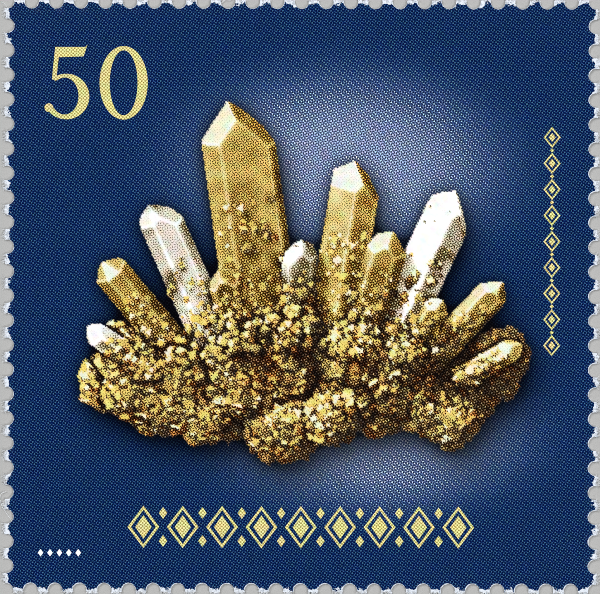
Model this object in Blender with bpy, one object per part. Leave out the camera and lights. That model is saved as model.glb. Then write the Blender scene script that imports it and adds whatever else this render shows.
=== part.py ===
"""A square postage stamp: one sheet of gummed paper, torn along perforations on all four sides.

The sheet lies face up on its gummed back. Its origin is the middle of that back, +Z points out of the
printed face and +Y towards the top of the print. Run it with blender --background --python part.py.
"""

import math
import random

import bmesh
import bpy
from mathutils import Vector

# Driving dimensions, in metres.
GAUGE = 13.25  # perforation gauge: the number of holes in 20 mm
PITCH = 0.020 / GAUGE  # from one hole's middle to the next
TEETH_PER_SIDE = 24
HOLE_RADIUS = 0.00044
PAPER_THICKNESS = 0.00011  # the paper with its gum and ink

# The tear: each tooth was pulled from its neighbour in the sheet, so its tip is a ragged line.
TEAR_SHOULDER = 0.00009  # a hole's cut wall runs on this far outside the line of holes
TIP_POINTS = 5  # points of the ragged line across one tooth
TIP_REACH = (0.00004, 0.00019)  # least and most that the ragged line stands outside the line of holes
TEAR_SEED = 8

ARC_STEP = math.radians(22)  # one flat of a hole's wall, at most
INK_BLUE = (0.012, 0.042, 0.12, 1.0)
PAPER_ROUGHNESS = 0.55

SIDE = TEETH_PER_SIDE * PITCH  # between the lines of holes on two opposite sides
SHOULDER_ANGLE = math.asin(TEAR_SHOULDER / HOLE_RADIUS)


def clear_scene():
    for obj in list(bpy.data.objects):
        bpy.data.objects.remove(obj)


def hole_wall(middle, along, inward, turn):
    """The cut wall of one hole, walked inwards and round through the given turn, shoulders included."""
    sweep = turn + 2 * SHOULDER_ANGLE
    steps = math.ceil(sweep / ARC_STEP)
    start = math.pi + SHOULDER_ANGLE
    angles = [start - sweep * step / steps for step in range(steps + 1)]
    return [middle + HOLE_RADIUS * (math.cos(a) * along + math.sin(a) * inward) for a in angles]


def torn_tip(start, end, outward, chance):
    """The ragged line across one tooth, between the walls of the holes beside it."""
    points = []
    for step in range(1, TIP_POINTS + 1):
        across = start.lerp(end, (step + chance.uniform(-0.25, 0.25)) / (TIP_POINTS + 1))
        reach = chance.uniform(*TIP_REACH)
        points.append(across + (reach - TEAR_SHOULDER) * outward)
    return points


def side_outline(corner, along, inward, chance):
    """One side: its teeth, the holes between them, and the hole at its far corner."""
    half_turn, quarter_turn = math.pi, math.pi / 2
    first = HOLE_RADIUS * math.cos(SHOULDER_ANGLE)
    points = []
    for tooth in range(TEETH_PER_SIDE):
        line = corner - TEAR_SHOULDER * inward
        start = line + (tooth * PITCH + first) * along
        end = line + ((tooth + 1) * PITCH - first) * along
        points += torn_tip(start, end, -inward, chance)
        at_corner = tooth == TEETH_PER_SIDE - 1
        middle = corner + (tooth + 1) * PITCH * along
        points += hole_wall(middle, along, inward, quarter_turn if at_corner else half_turn)
    return points


def sheet_outline():
    """The whole perforated edge, anticlockwise as seen from above."""
    chance = random.Random(TEAR_SEED)
    along, inward = Vector((1, 0, 0)), Vector((0, 1, 0))
    corner = Vector((-SIDE / 2, -SIDE / 2, 0))
    points = []
    for _ in range(4):
        points += side_outline(corner, along, inward, chance)
        corner = corner + SIDE * along
        along, inward = inward, -along
    return points


def centred(points):
    """The outline moved so that the box round it is centred on the origin."""
    low = Vector([min(p[axis] for p in points) for axis in range(3)])
    high = Vector([max(p[axis] for p in points) for axis in range(3)])
    return [p - (low + high) / 2 for p in points]


def paper_material():
    material = bpy.data.materials.new("printed_paper")
    material.use_nodes = True
    shader = material.node_tree.nodes["Principled BSDF"]
    shader.inputs["Base Color"].default_value = INK_BLUE
    shader.inputs["Roughness"].default_value = PAPER_ROUGHNESS
    shader.inputs["Metallic"].default_value = 0.0
    return material


def make_stamp():
    """The sheet: its outline filled as one face, then drawn up to the paper's thickness."""
    shape = bmesh.new()
    ring = [shape.verts.new(point) for point in centred(sheet_outline())]
    back = shape.faces.new(ring)
    drawn = bmesh.ops.extrude_face_region(shape, geom=[back])
    raised = [item for item in drawn["geom"] if isinstance(item, bmesh.types.BMVert)]
    bmesh.ops.translate(shape, verts=raised, vec=(0, 0, PAPER_THICKNESS))
    bmesh.ops.recalc_face_normals(shape, faces=shape.faces)
    mesh = bpy.data.meshes.new("stamp")
    shape.to_mesh(mesh)
    shape.free()
    mesh.materials.append(paper_material())
    stamp = bpy.data.objects.new("stamp", mesh)
    bpy.context.scene.collection.objects.link(stamp)
    return stamp


clear_scene()
make_stamp()
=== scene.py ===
# %% [markdown]
# # A postage stamp
# A stamp is one square of coated paper: printed on the face, gummed on the back, and torn out of its
# sheet along rows of punched holes. This script gives the imported solid its looks: the torn and punched
# edge, the print made of a tint and three screens of dots, the gum, and the loose fibres on the teeth.
# Everything is placed from the imported model, so that model is loaded first. Its box is kept, and the
# sheet's thickness is read from it.

# %% Load the imported solid
import math
import random

import bpy
import numpy as np
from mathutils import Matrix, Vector
from mathutils.geometry import delaunay_2d_cdt


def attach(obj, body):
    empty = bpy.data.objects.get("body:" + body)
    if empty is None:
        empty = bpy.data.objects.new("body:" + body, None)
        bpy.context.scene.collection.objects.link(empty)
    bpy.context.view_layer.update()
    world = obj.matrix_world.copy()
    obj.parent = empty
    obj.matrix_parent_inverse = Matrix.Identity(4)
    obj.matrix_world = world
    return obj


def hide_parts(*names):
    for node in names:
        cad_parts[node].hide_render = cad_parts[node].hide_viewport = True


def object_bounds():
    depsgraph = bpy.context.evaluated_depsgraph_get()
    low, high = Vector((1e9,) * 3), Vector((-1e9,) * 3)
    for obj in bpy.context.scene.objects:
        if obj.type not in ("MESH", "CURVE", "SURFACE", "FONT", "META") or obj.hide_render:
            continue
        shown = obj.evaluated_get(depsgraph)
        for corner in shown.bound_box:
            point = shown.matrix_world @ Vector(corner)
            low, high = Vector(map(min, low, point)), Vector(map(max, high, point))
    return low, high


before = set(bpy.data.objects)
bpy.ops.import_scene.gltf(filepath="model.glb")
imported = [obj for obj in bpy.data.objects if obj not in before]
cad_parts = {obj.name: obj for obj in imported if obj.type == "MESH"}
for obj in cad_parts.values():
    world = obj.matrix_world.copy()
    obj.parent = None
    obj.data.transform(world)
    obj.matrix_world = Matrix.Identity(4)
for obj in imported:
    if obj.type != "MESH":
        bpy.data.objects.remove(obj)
cad_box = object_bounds()
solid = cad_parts["stamp"]
THICKNESS = cad_box[1].z
print(f"the solid is {(cad_box[1].x - cad_box[0].x) * 1000:.2f} mm wide, {THICKNESS * 1000:.2f} mm thick")

# %% [markdown]
# ## The sizes that drive the rest
# Stamps are perforated to a gauge, the number of holes in 20 mm. The gauge and the number of teeth give
# the distance between the lines of holes, and every other size on the edge is measured from those lines.
# The mesh is in metres, but a printer lays a stamp out in millimetres, so the print is too.

# %% Driving sizes
MM = 0.001
GAUGE = 13.25
TEETH_PER_SIDE = 24
PITCH = 0.020 / GAUGE
HOLE_RADIUS = 0.44 * MM
HALF_SIDE = TEETH_PER_SIDE * PITCH / 2
PITCH_MM = PITCH / MM
HOLE_MM = HOLE_RADIUS / MM
HALF_MM = HALF_SIDE / MM
THICK_MM = THICKNESS / MM
print(f"{2 * HALF_MM:.2f} mm between the lines of holes, one hole every {PITCH_MM:.3f} mm")

# %% [markdown]
# ## Short tools
# Objects and nodes are made all through the script. A few short functions make one and wire it in a line,
# so that a tree of nodes reads almost like the formula it stands for. Each comes where it is first needed.

# %% One object or one node
def put(name, data):
    """A new object in the scene, which shows a mesh, a lamp or a camera."""
    thing = bpy.data.objects.new(name, data)
    bpy.context.scene.collection.objects.link(thing)
    return thing


def add(tree, kind, inputs=None, **settings):
    """One node in a tree, with its settings made and its inputs set or wired."""
    node = tree.nodes.new(kind)
    for name, value in settings.items():
        setattr(node, name, value)
    for name, value in (inputs or {}).items():
        if isinstance(value, bpy.types.NodeSocket):
            tree.links.new(value, node.inputs[name])
        else:
            node.inputs[name].default_value = value
    return node


def made(tree, kind, inputs=None, **settings):
    """The first output of a new node."""
    return add(tree, kind, inputs, **settings).outputs[0]


# %% [markdown]
# ## The table, the camera and the light
# The stamp lies face up and is looked at from straight above, with a long lens so that its sides stay
# parallel. A copying stand lights paper from the sides, so that nothing mirrors into the lens and the dark
# ink keeps its depth. Three broad soft lights do that here, with a weak room light to fill the shadows.
# The table is a plain pale grey, a little darker than the paper, so that the torn teeth stand out.
# The printed dots are hardly bigger than a pixel. A denoiser that smooths its guides first would take
# them for noise, so that step is left out, and a narrow pixel filter keeps them from running together.

# %% Camera
FRAME_WIDTH = 36.89 * MM
FRAME_MIDDLE = Vector((-0.08, -0.046, 0)) * MM
LENS = 150.0
SENSOR = 36.0
NEAREST, FURTHEST = 0.005, 20.0
ROLL = math.radians(0.12)

camera_data = bpy.data.cameras.new("camera")
camera_data.lens = LENS
camera_data.sensor_width = SENSOR
camera_data.sensor_fit = "HORIZONTAL"
camera_data.clip_start = NEAREST
camera_data.clip_end = FURTHEST
camera = put("camera", camera_data)
camera.location = FRAME_MIDDLE + Vector((0, 0, THICKNESS + LENS * FRAME_WIDTH / SENSOR))
camera.rotation_euler = (0, 0, ROLL)
scene = bpy.context.scene
scene.camera = camera
scene.view_settings.view_transform = "Standard"
scene.cycles.denoising_prefilter = "NONE"
scene.cycles.filter_width = 0.9
print(f"the camera hangs {camera.location.z * 1000:.0f} mm above the table")

# %% One material
def new_material(name):
    """A material with an empty tree of nodes."""
    material = bpy.data.materials.new(name)
    material.use_nodes = True
    material.node_tree.nodes.clear()
    return material, material.node_tree


def surface(tree, inputs):
    """Ends a material's tree in a Principled surface."""
    add(tree, "ShaderNodeOutputMaterial", {"Surface": made(tree, "ShaderNodeBsdfPrincipled", inputs)})


# %% Table and lights
TABLE_REACH = 0.6
TABLE_GAP = 0.01 * MM
TABLE_GREY = (0.42, 0.42, 0.415, 1.0)
TABLE_ROUGHNESS = 0.9
LAMP_DISTANCE = 1.0
LAMPS = [  # name, compass direction and height in degrees, size, watts
    ("key_light", 135, 42, 0.5, 8.45),
    ("fill_light", -45, 42, 0.5, 6.92),
    ("side_light", 45, 40, 0.6, 2.49),
]
ROOM_LIGHT = 0.045

corners = [(x * TABLE_REACH, y * TABLE_REACH, -TABLE_GAP) for x, y in ((-1, -1), (1, -1), (1, 1), (-1, 1))]
table_mesh = bpy.data.meshes.new("table")
table_mesh.from_pydata(corners, [], [(0, 1, 2, 3)])
table = put("table", table_mesh)
table_paint, table_tree = new_material("table_matt")
surface(table_tree, {"Base Color": TABLE_GREY, "Roughness": TABLE_ROUGHNESS})
table_mesh.materials.append(table_paint)

for name, azimuth, elevation, size, watts in LAMPS:
    around, up = math.radians(azimuth), math.radians(elevation)
    data = bpy.data.lights.new(name, "AREA")
    data.shape = "SQUARE"
    data.size = size
    data.energy = watts
    lamp = put(name, data)
    level = math.cos(up) * LAMP_DISTANCE
    lamp.location = (level * math.cos(around), level * math.sin(around), math.sin(up) * LAMP_DISTANCE)
    lamp.rotation_euler = (-Vector(lamp.location)).to_track_quat("-Z", "Y").to_euler()
world = bpy.data.worlds.new("room")
world.use_nodes = True
room = world.node_tree.nodes["Background"].inputs
room["Color"].default_value = (1.0, 1.0, 1.0, 1.0)
room["Strength"].default_value = ROOM_LIGHT
scene.world = world
print("table,", len(LAMPS), "soft lights and a weak room light are in place")

# %% [markdown]
# ## The perforated edge
# The solid's upper rim already has the true outline, drawn with few points. Walls that a punch cut are
# smooth arcs, and the teeth between them are torn, so the two need different care. A Geometry Nodes tree
# suits this, because the holes follow a rule: their middles all lie on one square grid, a pitch apart.
# It walks the rim in fine steps, pulls every point of a punched wall back onto its circle, give or take
# the few hundredths of a millimetre by which paper yields to a punch, and frays the points of a tear.

# %% Read the rim off the solid
MICRONS = 1e6
LEVEL_FACE = 0.5
NEAR_TOP = 0.9
ARC_LIMIT = 1.15


def upper_rim(mesh, height):
    """The ring of points round the top of the solid, anticlockwise from above."""
    following, places = {}, {}
    for face in mesh.polygons:
        if abs(face.normal.z) > LEVEL_FACE:
            continue
        ring = [mesh.vertices[index].co for index in face.vertices]
        for here, there in zip(ring, ring[1:] + ring[:1]):
            if min(here.z, there.z) > height * NEAR_TOP:
                start, end = [(round(p.x * MICRONS), round(p.y * MICRONS)) for p in (here, there)]
                following[end] = start
                places[start] = (here.x, here.y)
    key = next(iter(following))
    rim = []
    for _ in following:
        rim.append(places[key])
        key = following[key]
    return np.array(rim)


solid_rim = upper_rim(solid.data, THICKNESS)
from_crossing = solid_rim - np.round(solid_rim / PITCH) * PITCH
on_wall = np.hypot(*from_crossing.T) < HOLE_RADIUS * ARC_LIMIT
level_side = np.abs(solid_rim[:, 1]) > np.abs(solid_rim[:, 0])
register = np.array([
    from_crossing[on_wall & level_side, 0].mean(),
    from_crossing[on_wall & ~level_side, 1].mean(),
])
print(f"{len(solid_rim)} points on the rim, the grid of holes is off centre by {register / MM} mm")

# %% Formulas in nodes
LEVEL = (1, 1, 0)
HALF = (0.5, 0.5, 0.5)


def calc(tree, operation, *values):
    """A Math node, by its operation, with numbers or sockets as its values."""
    return made(tree, "ShaderNodeMath", dict(enumerate(values)), operation=operation)


def vector_calc(tree, operation, *values, output="Vector"):
    """A Vector Math node, by its operation."""
    return add(tree, "ShaderNodeVectorMath", dict(enumerate(values)), operation=operation).outputs[output]


def scaled(tree, vector, factor):
    """A vector times a number."""
    return made(tree, "ShaderNodeVectorMath", {0: vector, "Scale": factor}, operation="SCALE")


def joined(tree, *numbers):
    """A vector from its numbers."""
    return made(tree, "ShaderNodeCombineXYZ", dict(enumerate(numbers)))


def pulls(tree, inputs, dimensions="4D"):
    """A pull in a random direction at every place, from three noises about zero."""
    noises = add(tree, "ShaderNodeTexNoise", inputs, noise_dimensions=dimensions).outputs["Color"]
    return vector_calc(tree, "SUBTRACT", noises, HALF)


# %% Start, end and run a tree
def start_tree(name, **labels):
    """An empty Geometry Nodes tree, whose inputs are listed by the type of their sockets."""
    tree = bpy.data.node_groups.new(name, "GeometryNodeTree")
    for kind, names in {"Geometry": ["Geometry"], **labels, "Material": ["Paper"]}.items():
        for label in names:
            tree.interface.new_socket(label, in_out="INPUT", socket_type="NodeSocket" + kind)
    tree.interface.new_socket("Geometry", in_out="OUTPUT", socket_type="NodeSocketGeometry")
    return tree, add(tree, "NodeGroupInput").outputs


def finish_tree(tree, geometry, material):
    """Ends a tree: instances made real, the material set, and the result handed out."""
    real = made(tree, "GeometryNodeRealizeInstances", {"Geometry": geometry})
    painted = made(tree, "GeometryNodeSetMaterial", {"Geometry": real, "Material": material})
    add(tree, "NodeGroupOutput", {"Geometry": painted})
    return tree


def run_tree(name, mesh, tree, values):
    """Runs a tree on a mesh and returns the result as a plain mesh of its own."""
    holder = put(name, mesh)
    modifier = holder.modifiers.new(tree.name, "NODES")
    modifier.node_group = tree
    for item in tree.interface.items_tree:
        if item.in_out == "INPUT" and item.name in values:
            modifier[item.identifier] = values[item.name]
    bpy.context.view_layer.update()
    evaluated = holder.evaluated_get(bpy.context.evaluated_depsgraph_get())
    result = bpy.data.meshes.new_from_object(evaluated)
    bpy.data.objects.remove(holder)
    return result


# %% Geometry Nodes: walk the rim
WALL_LIMIT = 1.04
NOISE_SPAN = (0.25, 0.75)
FRAY_DETAIL, FRAY_ROUGHNESS = 2.0, 0.6


def walk(tree, curve, step):
    """A curve with its points a step apart."""
    return made(tree, "GeometryNodeResampleCurve", {"Curve": curve, "Length": step}, mode="LENGTH")


def nearest_hole(tree, place, pitch, grid_start):
    """The middle of the hole nearest to each place, and the way from there to the place, both level."""
    local = vector_calc(tree, "SUBTRACT", place, grid_start)
    pitches = joined(tree, pitch, pitch, pitch)
    crossing = vector_calc(tree, "SNAP", vector_calc(tree, "ADD", local, scaled(tree, pitches, 0.5)), pitches)
    away = vector_calc(tree, "MULTIPLY", vector_calc(tree, "SUBTRACT", local, crossing), LEVEL)
    return vector_calc(tree, "MULTIPLY", crossing, LEVEL), away


def perforation_tree():
    """Walks a ring of edges, rounds its punched walls and frays its tears."""
    tree, given = start_tree("perforate", Vector=["Register"], Int=["Seed"], Float=[
        "Pitch", "Hole Radius", "Step", "Fray", "Fray Size", "Wobble", "Wobble Size"])
    walked = walk(tree, made(tree, "GeometryNodeMeshToCurve", {"Mesh": given["Geometry"]}), given["Step"])
    place = made(tree, "GeometryNodeInputPosition")
    crossing, away = nearest_hole(tree, place, given["Pitch"], given["Register"])
    distance = vector_calc(tree, "LENGTH", away, output="Value")
    wall = calc(tree, "LESS_THAN", distance, calc(tree, "MULTIPLY", given["Hole Radius"], WALL_LIMIT))
    nibbled = made(tree, "ShaderNodeTexNoise", {"Scale": calc(tree, "DIVIDE", 1.0, given["Wobble Size"])})
    wobble = made(tree, "ShaderNodeMapRange", {
        "Value": nibbled, "From Min": NOISE_SPAN[0], "From Max": NOISE_SPAN[1],
        "To Min": calc(tree, "MULTIPLY", given["Wobble"], -1.0), "To Max": given["Wobble"]})
    radius = calc(tree, "ADD", given["Hole Radius"], wobble)
    spoke = scaled(tree, vector_calc(tree, "NORMALIZE", away), radius)
    middle = vector_calc(tree, "ADD", crossing, given["Register"])
    rounded = made(tree, "GeometryNodeSetPosition", {
        "Geometry": walked, "Selection": wall, "Position": vector_calc(tree, "ADD", middle, spoke)})
    ragged = pulls(tree, {
        "W": given["Seed"], "Scale": calc(tree, "DIVIDE", 1.0, given["Fray Size"]),
        "Detail": FRAY_DETAIL, "Roughness": FRAY_ROUGHNESS})
    frayed = made(tree, "GeometryNodeSetPosition", {
        "Geometry": rounded, "Selection": calc(tree, "SUBTRACT", 1.0, wall),
        "Offset": vector_calc(tree, "MULTIPLY", ragged, joined(tree, given["Fray"], given["Fray"]))})
    return finish_tree(tree, made(tree, "GeometryNodeCurveToMesh", {"Curve": frayed}), given["Paper"])


# %% Make the fine rim
rim_sizes = {
    "Pitch": PITCH,
    "Hole Radius": HOLE_RADIUS,
    "Step": 0.045 * MM,
    "Fray": 0.50 * MM,
    "Fray Size": 0.22 * MM,
    "Wobble": 0.028 * MM,
    "Wobble Size": 0.25 * MM,
    "Register": (register[0], register[1], 0.0),
    "Seed": 3,
    "Paper": bpy.data.materials.new("plain_paper"),
}
coarse_ring = bpy.data.meshes.new("solid_rim")
count = len(solid_rim)
coarse_ring.from_pydata([(x, y, 0) for x, y in solid_rim], [(i, (i + 1) % count) for i in range(count)], [])
rim_mesh = run_tree("rim", coarse_ring, perforation_tree(), rim_sizes)
rim = np.array([v.co[:2] for v in rim_mesh.vertices]) / MM
rim_width, rim_height = np.ptp(rim, axis=0)
print(f"{len(rim)} points on the fine rim, {rim_width:.2f} by {rim_height:.2f} mm over the teeth")

# %% [markdown]
# ## The picture: a group of crystals
# The picture on such a stamp starts in a studio, and so does this one: a small mineral
# group is modelled in numbers and lit from the upper left. Every crystal is convex, so it can be
# described by the planes of its faces alone. For each point of the picture the nearest plane that looks
# at the viewer gives the depth and the direction of the surface, and the nearest crystal wins. That is
# far less work than modelling thousands of crystals as meshes, and nothing of it is left in the scene.
# The crystals, their places and the light are all worked out here, with a fixed seed.

# %% The drawing board
BOARD_STEP = 0.085
BOARD_HALF = 18.5
GOLD, MILKY, SMOKY = 1, 2, 3
EDGE_ON = 1e-3

board_line = np.arange(-BOARD_HALF, BOARD_HALF, BOARD_STEP)
board_x, board_y = np.meshgrid(board_line, board_line)
board = {
    "depth": np.full(board_x.shape, -np.inf),
    "facing": np.tile((0.0, 0.0, 1.0), board_x.shape + (1,)),
    "matter": np.zeros(board_x.shape, int),
    "shade": np.zeros(board_x.shape),
    "rise": np.zeros(board_x.shape),
}


def board_index(value):
    """The row or column of the board nearest to a place in millimetres."""
    return np.clip(np.rint((np.asarray(value) + BOARD_HALF) / BOARD_STEP).astype(int), 0, len(board_line) - 1)


def draw_crystal(middle, faces, reach, matter, shade, axis=None):
    """Draws one convex crystal, given by (direction, distance) of each face, where nothing is nearer."""
    cols, rows = (slice(board_index(at - reach), board_index(at + reach) + 1) for at in middle[:2])
    here = {name: layer[rows, cols] for name, layer in board.items()}
    x, y = board_x[rows, cols] - middle[0], board_y[rows, cols] - middle[1]
    front, back = np.full(x.shape, np.inf), np.full(x.shape, -np.inf)
    nearest = np.zeros(x.shape, int)
    for number, (direction, distance) in enumerate(faces):
        toward = direction[2] if abs(direction[2]) > EDGE_ON else EDGE_ON
        plane = (distance - direction[0] * x - direction[1] * y) / toward
        if toward > 0:
            nearest = np.where(plane < front, number, nearest)
            front = np.minimum(front, plane)
        else:
            back = np.maximum(back, plane)
    seen = (front > back) & (front + middle[2] > here["depth"])
    here["depth"][seen] = front[seen] + middle[2]
    here["facing"][seen] = np.array([direction for direction, _ in faces])[nearest[seen]]
    here["matter"][seen] = matter
    here["shade"][seen] = shade
    if axis is not None:
        here["rise"][seen] = (x[seen] * axis[0] + y[seen] * axis[1] + front[seen] * axis[2]) / reach
    return int(seen.sum())


print(f"the board holds {board_x.size} samples, one every {BOARD_STEP} mm")

# %% [markdown]
# A quartz crystal is a six-sided prism under a six-sided point, and the faces of the point lean 51.8
# degrees off the axis, whatever the crystal's size. Gold grows as small cubes and eight-faced crystals,
# turned every way. Letting each face stand a little nearer or further than the rule says makes them
# look grown and not cut.

# %% Crystal shapes
POINT_ANGLE = math.radians(51.8)
FOOT_FACE = 0.5
SIDE_SPREAD = (0.78, 1.15)
TIP_SPREADS = ((0.99, 1.07), (0.96, 1.0))
EIGHT_FACED_SHARE = 0.6
GRAIN_DEPTH = 0.64
GRAIN_SPREAD = (0.85, 1.1)
GRAIN_REACH = 1.8
art = random.Random(11)


def unit(vector):
    """A vector of length one."""
    vector = np.asarray(vector, float)
    return vector / np.linalg.norm(vector)


def quartz_faces(axis, radius, length):
    """The twelve faces of a quartz crystal that stands on the origin, and its flat foot."""
    across = unit(np.cross(axis, (0.3, 0.1, 1.0)))
    beside = np.cross(axis, across)
    turn = art.uniform(0, math.pi / 3)
    faces = [(-axis, FOOT_FACE)]
    for number in range(6):
        angle = turn + number * math.pi / 3
        side = math.cos(angle) * across + math.sin(angle) * beside
        faces.append((side, radius * art.uniform(*SIDE_SPREAD)))
        point = math.sin(POINT_ANGLE) * side + math.cos(POINT_ANGLE) * axis
        stretch = art.uniform(*TIP_SPREADS[number % 2])
        faces.append((point, math.cos(POINT_ANGLE) * length * stretch))
    return faces


def random_turn():
    """A turn about a random axis, as a matrix."""
    w, x, y, z = unit([art.gauss(0, 1) for _ in range(4)])
    return np.array([
        [1 - 2 * (y * y + z * z), 2 * (x * y - z * w), 2 * (x * z + y * w)],
        [2 * (x * y + z * w), 1 - 2 * (x * x + z * z), 2 * (y * z - x * w)],
        [2 * (x * z - y * w), 2 * (y * z + x * w), 1 - 2 * (x * x + y * y)],
    ])


CUBE = [sign * row for row in np.eye(3) for sign in (-1, 1)]
EIGHT_FACES = [unit((i, j, k)) for i in (-1, 1) for j in (-1, 1) for k in (-1, 1)]


def draw_grain(x, y, z, size):
    """One gold crystal, a cube or an octahedron."""
    turn = random_turn()
    shape = EIGHT_FACES if art.random() < EIGHT_FACED_SHARE else CUBE
    faces = [(turn @ face, GRAIN_DEPTH * size * art.uniform(*GRAIN_SPREAD)) for face in shape]
    return draw_crystal((x, y, z), faces, GRAIN_REACH * size, GOLD, art.random())


# %% [markdown]
# The gold sits on a mound of round lumps. Lumps give the large lights and shadows, and the grains
# strewn over them give the glitter, which is how a real crust looks at arm's length and close up.

# %% The mound of gold
LUMPS = 70
MOUND_REACH = 12.3
LUMP_RADII = (1.2, 2.7)
LUMP_FLATNESS = 0.85
GRAINS_TRIED = 15000
GRAINS_ACROSS, GRAINS_UP = (-14.3, 14.3), (-11.6, 3.0)
GRAIN_SIZES = (0.16, 0.20, 0.25, 0.32, 0.45)
SUNK = (-0.3, 0.18)


def mound_top(x):
    return 0.2 + 1.1 * math.sin(0.5 * x + 0.9) + 0.7 * math.sin(1.6 * x) - 0.030 * x * x


def mound_foot(x):
    return -9.3 + 0.016 * x * x + 0.6 * math.sin(0.9 * x + 2)


def make_lump():
    """One round lump of the mound: its middle and its radius."""
    x = MOUND_REACH * art.uniform(-1, 1)
    y = art.uniform(mound_foot(x) + 0.8, mound_top(x) - 0.6)
    radius = art.uniform(*LUMP_RADII) * (1 - 0.025 * abs(x))
    return x, y, art.uniform(-1.2, 1.0) - 0.012 * x * x, radius


lumps = np.array([make_lump() for _ in range(LUMPS)])


def mound_height(x, y):
    """How far the mound stands towards the viewer, or None beside it."""
    room = lumps[:, 3] ** 2 - (lumps[:, 0] - x) ** 2 - (lumps[:, 1] - y) ** 2
    inside = room > 0
    return (lumps[inside, 2] + LUMP_FLATNESS * np.sqrt(room[inside])).max() if inside.any() else None


grains = 0
for _ in range(GRAINS_TRIED):
    x, y = art.uniform(*GRAINS_ACROSS), art.uniform(*GRAINS_UP)
    z = mound_height(x, y)
    if z is not None:
        size = art.choice(GRAIN_SIZES) * art.uniform(0.8, 1.2)
        grains += draw_grain(x, y, z + art.uniform(*SUNK), size) > 0
print(f"{grains} grains of gold show on the mound")

# %% The quartz crystals
FOOT_DEPTH = -0.3
CRYSTAL_REACH = 1.15
QUARTZ = [  # foot x, foot y, lean to the right, lean to the viewer, radius, length, matter
    (-2.3, -3.0, -8, 8, 1.95, 15.6, SMOKY),
    (1.5, -3.4, 9, 14, 1.45, 12.6, SMOKY),
    (-5.2, -3.6, -24, 14, 1.25, 10.8, MILKY),
    (4.9, -3.6, 25, 14, 1.45, 11.6, MILKY),
    (3.3, -3.4, 17, 26, 1.00, 8.8, SMOKY),
    (-7.3, -3.8, -40, 20, 0.95, 8.4, SMOKY),
    (-0.2, -2.6, 2, 30, 1.00, 7.2, MILKY),
    (-3.6, -3.0, -17, 36, 0.90, 6.2, SMOKY),
    (7.8, -4.0, 43, 24, 0.90, 7.4, SMOKY),
    (6.3, -3.8, 33, 38, 0.75, 5.6, SMOKY),
    (-9.2, -4.6, -56, 26, 0.70, 5.4, MILKY),
    (10.0, -5.0, 60, 24, 0.65, 4.6, SMOKY),
]


def quartz_axis(lean, toward):
    """The direction a crystal grows in, from its two leans in degrees."""
    lean, toward = math.radians(lean), math.radians(toward)
    return np.array([math.sin(lean) * math.cos(toward), math.cos(lean) * math.cos(toward), math.sin(toward)])


for x, y, lean, toward, radius, length, matter in QUARTZ:
    axis = quartz_axis(lean, toward)
    faces = quartz_faces(axis, radius, length)
    draw_crystal((x, y, FOOT_DEPTH), faces, CRYSTAL_REACH * length, matter, art.random(), axis)
print(f"{len(QUARTZ)} quartz crystals stand on it")

# %% Gold dust on the quartz
DUST_TRIED = 1500
DUST_SIZES = (0.12, 0.16, 0.24, 0.34)
DUST_CLIMB, DUST_LOWNESS = 0.6, 2.2

dust = 0
for _ in range(DUST_TRIED):
    foot_x, foot_y, lean, toward, radius, length, _ = art.choice(QUARTZ)
    along = quartz_axis(lean, toward) * length * DUST_CLIMB * art.random() ** DUST_LOWNESS
    x = foot_x + along[0] + art.uniform(-radius, radius)
    y = foot_y + along[1] + art.uniform(-0.5, 0.5)
    z = board["depth"][board_index(y), board_index(x)]
    if np.isfinite(z):
        size = art.choice(DUST_SIZES)
        dust += draw_grain(x, y, z + 0.1 * size, size) > 0
print(f"{dust} more grains cling to the quartz")

# %% [markdown]
# ## Lighting the picture
# A studio light is worked out from what the board holds: how squarely each face looks at the lamp, what
# a mirror in its place would show, whether something nearer the lamp stands in the way, and how deep
# the point lies among its neighbours. Blurred copies of the depth stand in for the last one. The weights
# in the sums are a matter of taste, like the strength of a real lamp.

# %% Blurring and mottling
def blur(field, reach, times=2):
    """A field averaged over a square window, a few times over."""
    margin = max(1, int(round(reach / BOARD_STEP)))
    width = 2 * margin + 1
    for side in (0, 1) * times:
        lines = np.moveaxis(field, side, 0)
        before, after = np.repeat(lines[:1], margin + 1, 0), np.repeat(lines[-1:], margin, 0)
        running = np.cumsum(np.concatenate([before, lines, after]), 0)
        field = np.moveaxis((running[width:] - running[:-width]) / width, 0, side)
    return field


def mottle(size, seed):
    """Smooth random patches from 0 to 1, of about a given size."""
    count = int(2 * BOARD_HALF / size) + 3
    patches = np.random.default_rng(seed).random((count, count))
    place = (board_line + BOARD_HALF) / size
    low = place.astype(int)
    part = place - low
    part = part * part * (3 - 2 * part)
    wide = patches[:, low] * (1 - part) + patches[:, low + 1] * part
    return wide[low] * (1 - part[:, None]) + wide[low + 1] * part[:, None]


# %% The studio light
LAMP = unit((-0.55, 0.62, 0.62))
VIEWER = np.array((0.0, 0.0, 1.0))
SOFT_BOX = unit((-0.6, 0.7, 0.35))
RIM_LAMP = unit((0.85, 0.05, 0.5))
SHADOW_STEPS = 70
SHADOW_MARGIN = 0.06
HOLLOWS = ((0.16, 2.9), (0.5, 1.7), (1.3, 0.95))  # reach in millimetres, weight
LUMP_BLUR = 0.6
SHARP_BEND = 0.25

matter = board["matter"]
shade = board["shade"]
solid_here = matter > 0
relief = np.where(solid_here, board["depth"], board["depth"][solid_here].min() - 0.5)
facing = board["facing"] / np.linalg.norm(board["facing"], axis=-1, keepdims=True)

lit = np.ones(relief.shape)
level = math.hypot(LAMP[0], LAMP[1])
for step in range(1, SHADOW_STEPS):
    shift = (-round(LAMP[1] * step / level), -round(LAMP[0] * step / level))
    climb = step * BOARD_STEP * LAMP[2] / level + SHADOW_MARGIN
    lit[np.roll(relief, shift, (0, 1)) > relief + climb] = 0
lit = blur(lit, BOARD_STEP, 1)

hollow = np.ones(relief.shape)
for reach, weight in HOLLOWS:
    hollow /= 1 + weight * np.clip(blur(relief, reach) - relief, 0, None) / reach

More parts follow.
